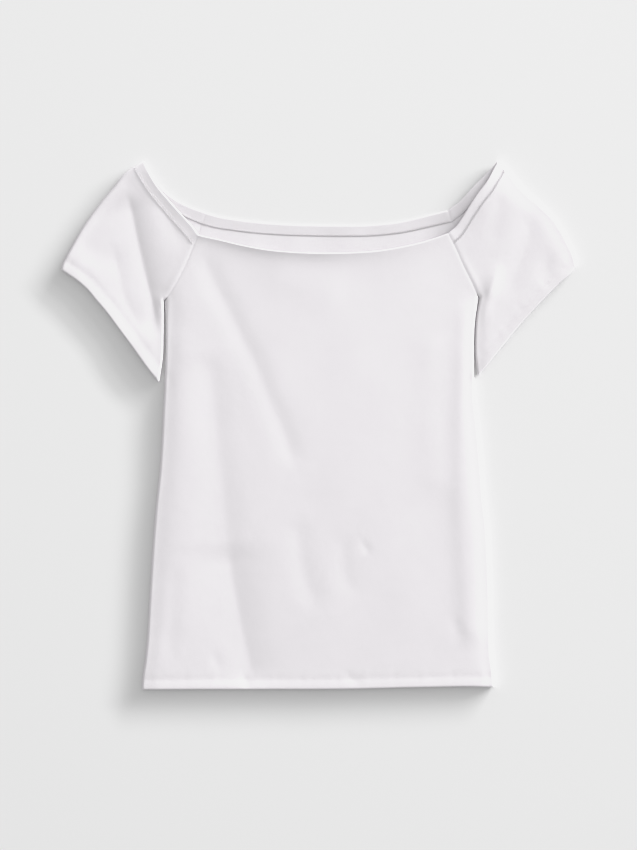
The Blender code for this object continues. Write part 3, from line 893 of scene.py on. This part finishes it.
def seam_path(sheet, flip, at_end, depth, hem, lift):
    """Points and normals along a hem, at a depth from the finished edge."""
    step = (hem - HEM_INSET) / HEM_STEPS
    place = (depth - HEM_INSET) / step
    k = min(int(place), HEM_STEPS)
    share = place - k
    rows = sheet[::-1] if at_end else sheet
    normal = outward(sheet, flip)
    normal = normal[::-1] if at_end else normal
    points = rows[k] * (1 - share) + rows[k + 1] * share
    facing = unit(normal[k] * (1 - share) + normal[k + 1] * share)
    return points + facing * lift, facing


STITCH = 2.3
STITCH_GAP = 0.7
THREAD = 0.10
STITCH_START = 0.6
STITCH_STAGGER = 0.4
STITCH_SIDES = 5

# Along a stitch: place, height of its arch over the cloth, girth
STITCH_FORM = np.array([
    (0.0, -0.16, 0.35), (0.25, -0.06, 0.9), (0.5, -0.03, 1.0), (0.75, -0.06, 0.9),
    (1.0, -0.16, 0.35),
])


def stitch_line(work, points, facing, start=0.0):
    """Small arched stitches along a line on the cloth."""
    along = lengths(points)
    pitch = STITCH + STITCH_GAP
    count = int((along[-1] - start - 1.0) / pitch)
    for k in range(count):
        first = start + STITCH_START + k * pitch
        places = first + STITCH_FORM[:, 0] * STITCH
        middle = at(points, places)
        normal = unit(at(facing, places))
        run = unit(middle[-1] - middle[0])
        side = np.cross(normal, run)
        arch = STITCH_FORM[:, 1]
        girth = STITCH_FORM[:, 2] * THREAD
        rings = []
        for m, n, b, h, g in zip(middle, normal, side, arch, girth):
            ring = []
            for turn in np.arange(STITCH_SIDES) * (2 * math.pi / STITCH_SIDES):
                spot = m + n * (h + g * math.sin(turn)) + b * g * math.cos(turn)
                ring.append(work.verts.new(spot * MM))
            rings.append(ring)
        for a, b in zip(rings, rings[1:]):
            for j in range(STITCH_SIDES):
                n = (j + 1) % STITCH_SIDES
                work.faces.new((a[j], a[n], b[n], b[j]))
        work.faces.new(rings[0][::-1])
        work.faces.new(rings[-1])


def stitching(name, lines, material):
    """One piece holding the stitches of several lines of sewing."""
    work = bmesh.new()
    for points, facing, start in lines:
        stitch_line(work, points, facing, start)
    for face in work.faces:
        face.smooth = True
    bmesh.ops.recalc_face_normals(work, faces=work.faces)
    mesh = bpy.data.meshes.new(name)
    work.to_mesh(mesh)
    work.free()
    mesh.materials.append(material)
    piece = bpy.data.objects.new(name, mesh)
    bpy.context.scene.collection.objects.link(piece)
    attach(piece, "root")
    return piece


NEEDLES = (10.8, 13.8)
HEM_NEEDLES = (9.6, 12.4)
ON_TOP = THICKNESS / 2

# Cover thread: its two sides from the raw edge, pitch, thickness and clearances
COVER_SIDES = (3.4, 0.4)
COVER_PITCH = 1.5
COVER_RADIUS = 0.12
COVER_CLEAR = 0.1
COVER_LIFT = 0.03


def hem_lines(sheet, flip, at_end, hem, needles):
    """The two rows of needle stitches along a hem."""
    lines = []
    for k, depth in enumerate(needles):
        points, facing = seam_path(sheet, flip, at_end, depth, hem, ON_TOP)
        lines.append((points, facing, STITCH_STAGGER * k))
    return lines


def cover_lines(sheet, flip, hem):
    """Looped thread over the raw edge inside the neck, between the two needle lines."""
    low, facing = seam_path(sheet, flip, False, hem - COVER_SIDES[0], hem, 0.0)
    high, _ = seam_path(sheet, flip, False, hem - COVER_SIDES[1], hem, 0.0)
    inside = -(PLY_STEP * (RAW_EDGE + COVER_CLEAR) + THICKNESS / 2)
    count = int(lengths(low)[-1] / COVER_PITCH)
    places = np.linspace(1.0, lengths(low)[-1] - 1.0, count)
    zig = at(low, places)
    zag = at(high, places * lengths(high)[-1] / lengths(low)[-1])
    normal = unit(at(facing, places))
    odd = (np.arange(count) % 2)[:, None]
    points = zig * (1 - odd) + zag * odd + normal * inside
    return points, -normal


WHITE = (0.800, 0.775, 0.800)
THREAD_WHITE = (0.83, 0.815, 0.83)

front_cloth = jersey("front_jersey", WHITE)
back_cloth = jersey("back_jersey", WHITE)
left_cloth = jersey("left_sleeve_jersey", WHITE)
right_cloth = jersey("right_sleeve_jersey", WHITE)
thread = thread_finish("white_sewing_thread", THREAD_WHITE)

front = body_sheet(LEFT_RAGLAN, RIGHT_RAGLAN, FRONT_NECK, True, PITCH)
back = body_sheet(LEFT_BACK_RAGLAN, RIGHT_BACK_RAGLAN, BACK_NECK, False, BACK_PITCH)
left = sleeve_sheet("left", (
    LEFT_RAGLAN, LEFT_BACK_RAGLAN, LEFT_UNDERARM, LEFT_SHOULDER,
    LEFT_SLEEVE_NECK, LEFT_SLEEVE_BACK_NECK, LEFT_CUFF,
))
right = sleeve_sheet("right", (
    RIGHT_RAGLAN, RIGHT_BACK_RAGLAN, RIGHT_UNDERARM, RIGHT_SHOULDER,
    RIGHT_SLEEVE_NECK, RIGHT_SLEEVE_BACK_NECK, RIGHT_CUFF,
))

# Turn of the knit on the sleeves
SLEEVE_TURN = math.radians(40)
back_piece = cloth_piece("back", "back_panel", with_hems(back, False), back_cloth, 0.0)
front_piece = cloth_piece("front", "front_panel", with_hems(front, True), front_cloth, 0.0)
left_piece = cloth_piece(
    "sleeve_left", "left_sleeve", with_hems(left, False), left_cloth, -SLEEVE_TURN
)
right_piece = cloth_piece(
    "sleeve_right", "right_sleeve", with_hems(right, True), right_cloth, SLEEVE_TURN
)

front_thread = stitching(
    "front_hem_stitches",
    hem_lines(front, True, True, BODY_HEM, HEM_NEEDLES)
    + hem_lines(front, True, False, NECK_HEM, NEEDLES),
    thread,
)
back_thread = stitching(
    "back_hem_stitches",
    hem_lines(back, False, True, BODY_HEM, HEM_NEEDLES)
    + hem_lines(back, False, False, NECK_HEM, NEEDLES),
    thread,
)
left_thread = stitching(
    "left_sleeve_stitches",
    hem_lines(left, False, True, CUFF_HEM, HEM_NEEDLES)
    + hem_lines(left, False, False, NECK_HEM, NEEDLES),
    thread,
)
right_thread = stitching(
    "right_sleeve_stitches",
    hem_lines(right, True, True, CUFF_HEM, HEM_NEEDLES)
    + hem_lines(right, True, False, NECK_HEM, NEEDLES),
    thread,
)


def cover_thread(name, sheet, flip):
    """A fine looped thread as a round curve on the inside of the neck hem."""
    points, normal = cover_lines(sheet, flip, NECK_HEM)
    points = points + normal * COVER_LIFT
    curve = bpy.data.curves.new(name, "CURVE")
    curve.dimensions = "3D"
    curve.bevel_depth = COVER_RADIUS * MM
    curve.bevel_resolution = 1
    line = curve.splines.new("POLY")
    line.points.add(len(points) - 1)
    for spot, point in zip(line.points, points):
        spot.co = (*(point * MM), 1.0)
    curve.materials.append(thread)
    piece = bpy.data.objects.new(name, curve)
    bpy.context.scene.collection.objects.link(piece)
    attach(piece, "root")
    return piece


back_cover = cover_thread("back_neck_cover_thread", back, False)
left_cover = cover_thread("left_neck_cover_thread", left, False)
right_cover = cover_thread("right_neck_cover_thread", right, True)

# Floor, light and camera

FLOOR_TONE = (0.80, 0.80, 0.80)
FLOOR_REACH = 4.0


def floor_sheet():
    """The plain surface that the top lies on."""
    work = bmesh.new()
    bmesh.ops.create_grid(work, x_segments=4, y_segments=4, size=FLOOR_REACH)
    mesh = bpy.data.meshes.new("floor")
    work.to_mesh(mesh)
    work.free()
    mesh.materials.append(paper_finish("pale_floor", FLOOR_TONE))
    floor = bpy.data.objects.new("floor", mesh)
    bpy.context.scene.collection.objects.link(floor)


floor_sheet()

FILL_LIGHT = 0.535

world = bpy.data.worlds.new("studio")
world.use_nodes = True
world.node_tree.nodes["Background"].inputs["Color"].default_value = (1.0, 1.0, 1.0, 1.0)
world.node_tree.nodes["Background"].inputs["Strength"].default_value = FILL_LIGHT
bpy.context.scene.world = world

AZIMUTH = math.radians(39.5)
FAR = 20.0
LAMP_WIDTH = 15.0
KEY_LIGHT = 0.47
OVERHEAD_WIDE = 1.2
OVERHEAD_LIGHT = 3.0
OVERHEAD_PLACE = (0.0, 0.45, 1.9)

# Bank of lamps to the upper right: elevation, height of the lamp, share of the light
LAMPS = [
    ("low", 6.9, 0.8, 0.47),
    ("middle", 10.0, 1.4, 0.28),
    ("high", 15.5, 2.6, 0.18),
    ("top", 30.0, 7.0, 0.07),
]


def lamp(name, elevation, tall, share):
    """A broad soft lamp that gives its share of the light falling on the floor."""
    rise = math.radians(elevation)
    toward = Vector((
        math.cos(rise) * math.cos(AZIMUTH), math.cos(rise) * math.sin(AZIMUTH), math.sin(rise),
    ))
    data = bpy.data.lights.new(name, "AREA")
    data.shape = "RECTANGLE"
    data.size = LAMP_WIDTH
    data.size_y = tall
    data.energy = share * KEY_LIGHT * (math.pi * FAR) ** 2 / math.sin(rise)
    light = bpy.data.objects.new(name, data)
    light.location = toward * FAR
    light.rotation_euler = toward.to_track_quat("Z", "Y").to_euler()
    bpy.context.scene.collection.objects.link(light)


for row in LAMPS:
    lamp(*row)

top = bpy.data.lights.new("overhead", "AREA")
top.shape = "DISK"
top.size = OVERHEAD_WIDE
top.energy = OVERHEAD_LIGHT
top_light = bpy.data.objects.new("overhead", top)
top_light.location = OVERHEAD_PLACE
bpy.context.scene.collection.objects.link(top_light)

CAMERA_HEIGHT = 3.0
FRAME_TALL = 1.020
CAMERA_ASIDE = -0.0006

camera = bpy.data.cameras.new("camera")
camera.sensor_fit = "VERTICAL"
camera.sensor_height = 24.0
camera.lens = camera.sensor_height * CAMERA_HEIGHT / FRAME_TALL
camera.clip_start = 0.05
camera.clip_end = 50.0
eye = bpy.data.objects.new("camera", camera)
eye.location = (CAMERA_ASIDE, 0.0, CAMERA_HEIGHT)
bpy.context.scene.collection.objects.link(eye)
bpy.context.scene.camera = eye
bpy.context.scene.view_settings.view_transform = "Standard"

# The camera holds back the highlights: brightness of the light, brightness in the picture
HIGHLIGHTS = [(0.0, 0.0), (0.82, 0.82), (0.88, 0.868), (1.0, 0.895), (2.0, 0.905)]


def hold_highlights():
    """The tones above the paper's are drawn closer together."""
    view = bpy.context.scene.view_settings
    view.use_curve_mapping = True
    mapping = view.curve_mapping
    mapping.use_clip = False
    mapping.extend = "HORIZONTAL"
    curve = mapping.curves[3]
    while len(curve.points) < len(HIGHLIGHTS):
        curve.points.new(0.5, 0.5)
    for point, place in zip(curve.points, HIGHLIGHTS):
        point.location = place
        point.handle_type = "VECTOR"
    mapping.update()


hold_highlights()
